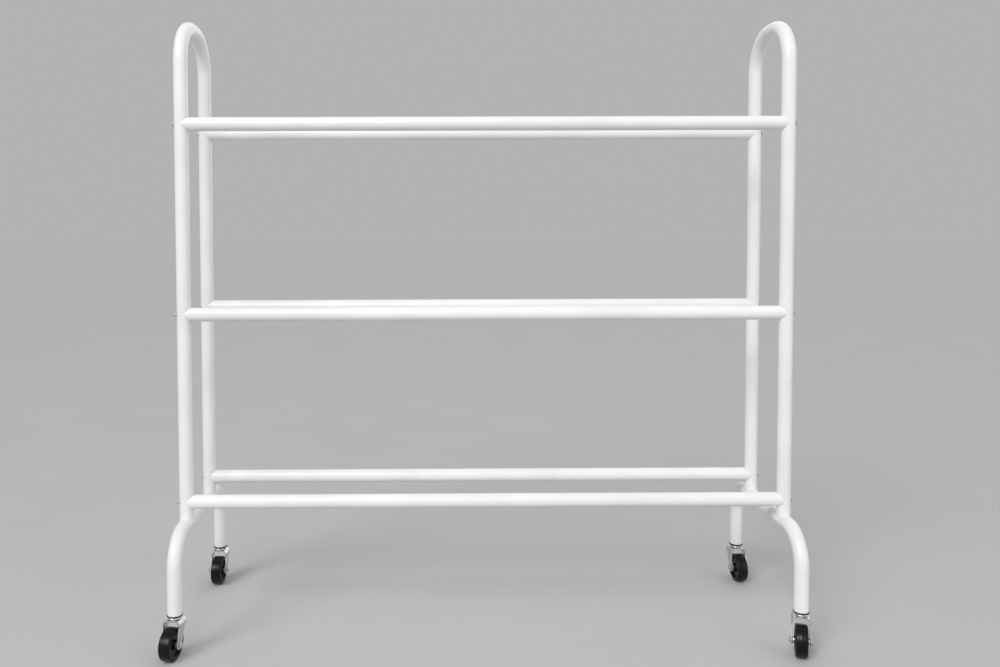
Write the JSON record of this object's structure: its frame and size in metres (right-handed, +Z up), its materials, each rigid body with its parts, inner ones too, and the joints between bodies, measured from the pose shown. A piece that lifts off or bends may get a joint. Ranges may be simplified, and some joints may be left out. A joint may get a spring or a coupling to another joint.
{
  "type": "rolling storage rack",
  "caption": "Open white tube rack on swivel casters: arched end hoops on bowed base tubes, joined by front and rear rail pairs at three heights.",
  "frame": {"origin": "on the floor under the middle of the overall box, with the casters parked trailing forwards", "axes": "+X along the rails to the right end, +Y to the rear, +Z up"},
  "size_m": [1.5276, 0.5188, 1.5129],
  "materials": {
    "white_coat": "smooth white powder coat, semi-gloss",
    "zinc": "bright zinc plate, satin",
    "wheel_rubber": "hard black rubber, semi-gloss tread",
    "black_plastic": "moulded black plastic, satin"
  },
  "bodies": {
    "frame": {"end_hoop_left": "white_coat", "base_tube_left": "white_coat", "end_hoop_right": "white_coat", "base_tube_right": "white_coat", "rail_bottom_front": "white_coat", "rail_bolt_bottom_front_left": "zinc", "rail_plug_bottom_front_left": "zinc", "rail_bolt_bottom_front_right": "zinc", "rail_plug_bottom_front_right": "zinc", "rail_bottom_rear": "white_coat", "rail_bolt_bottom_rear_left": "zinc", "rail_plug_bottom_rear_left": "zinc", "rail_bolt_bottom_rear_right": "zinc", "rail_plug_bottom_rear_right": "zinc", "rail_middle_front": "white_coat", "rail_bolt_middle_front_left": "zinc", "rail_plug_middle_front_left": "zinc", "rail_bolt_middle_front_right": "zinc", "rail_plug_middle_front_right": "zinc", "rail_middle_rear": "white_coat", "rail_bolt_middle_rear_left": "zinc", "rail_plug_middle_rear_left": "zinc", "rail_bolt_middle_rear_right": "zinc", "rail_plug_middle_rear_right": "zinc", "rail_top_front": "white_coat", "rail_bolt_top_front_left": "zinc", "rail_plug_top_front_left": "zinc", "rail_bolt_top_front_right": "zinc", "rail_plug_top_front_right": "zinc", "rail_top_rear": "white_coat", "rail_bolt_top_rear_left": "zinc", "rail_plug_top_rear_left": "zinc", "rail_bolt_top_rear_right": "zinc", "rail_plug_top_rear_right": "zinc", "caster_socket_front_left": "black_plastic", "caster_stem_front_left": "zinc", "caster_socket_front_right": "black_plastic", "caster_stem_front_right": "zinc", "caster_socket_rear_left": "black_plastic", "caster_stem_rear_left": "zinc", "caster_socket_rear_right": "black_plastic", "caster_stem_rear_right": "zinc"},
    "caster_front_left": {"caster_fork_front_left": "zinc", "axle_bolt_front_left": "zinc", "axle_nut_front_left": "zinc"},
    "wheel_front_left": {"caster_wheel_front_left": "wheel_rubber"},
    "caster_front_right": {"caster_fork_front_right": "zinc", "axle_bolt_front_right": "zinc", "axle_nut_front_right": "zinc"},
    "wheel_front_right": {"caster_wheel_front_right": "wheel_rubber"},
    "caster_rear_left": {"caster_fork_rear_left": "zinc", "axle_bolt_rear_left": "zinc", "axle_nut_rear_left": "zinc"},
    "wheel_rear_left": {"caster_wheel_rear_left": "wheel_rubber"},
    "caster_rear_right": {"caster_fork_rear_right": "zinc", "axle_bolt_rear_right": "zinc", "axle_nut_rear_right": "zinc"},
    "wheel_rear_right": {"caster_wheel_rear_right": "wheel_rubber"}
  },
  "joints": [
    {"name": "swivel_front_left", "type": "hinge", "parent": "frame", "child": "caster_front_left", "pos_m": [-0.73315, -0.205, 0.091], "axis": [0, 0, 1], "continuous": true},
    {"name": "wheel_spin_front_left", "type": "hinge", "parent": "caster_front_left", "child": "wheel_front_left", "pos_m": [-0.73731, -0.22456, 0.0375], "axis": [0.9781, -0.2079, 0], "continuous": true},
    {"name": "swivel_front_right", "type": "hinge", "parent": "frame", "child": "caster_front_right", "pos_m": [0.73315, -0.205, 0.091], "axis": [0, 0, 1], "continuous": true},
    {"name": "wheel_spin_front_right", "type": "hinge", "parent": "caster_front_right", "child": "wheel_front_right", "pos_m": [0.72631, -0.22379, 0.0375], "axis": [0.9397, -0.342, 0], "continuous": true},
    {"name": "swivel_rear_left", "type": "hinge", "parent": "frame", "child": "caster_rear_left", "pos_m": [-0.73315, 0.237, 0.091], "axis": [0, 0, 1], "continuous": true},
    {"name": "wheel_spin_rear_left", "type": "hinge", "parent": "caster_rear_left", "child": "wheel_rear_left", "pos_m": [-0.73385, 0.21701, 0.0375], "axis": [0.9994, -0.0349, 0], "continuous": true},
    {"name": "swivel_rear_right", "type": "hinge", "parent": "frame", "child": "caster_rear_right", "pos_m": [0.73315, 0.237, 0.091], "axis": [0, 0, 1], "continuous": true},
    {"name": "wheel_spin_rear_right", "type": "hinge", "parent": "caster_rear_right", "child": "wheel_rear_right", "pos_m": [0.7342, 0.21703, 0.0375], "axis": [0.9986, 0.0523, 0], "continuous": true}
  ]
}
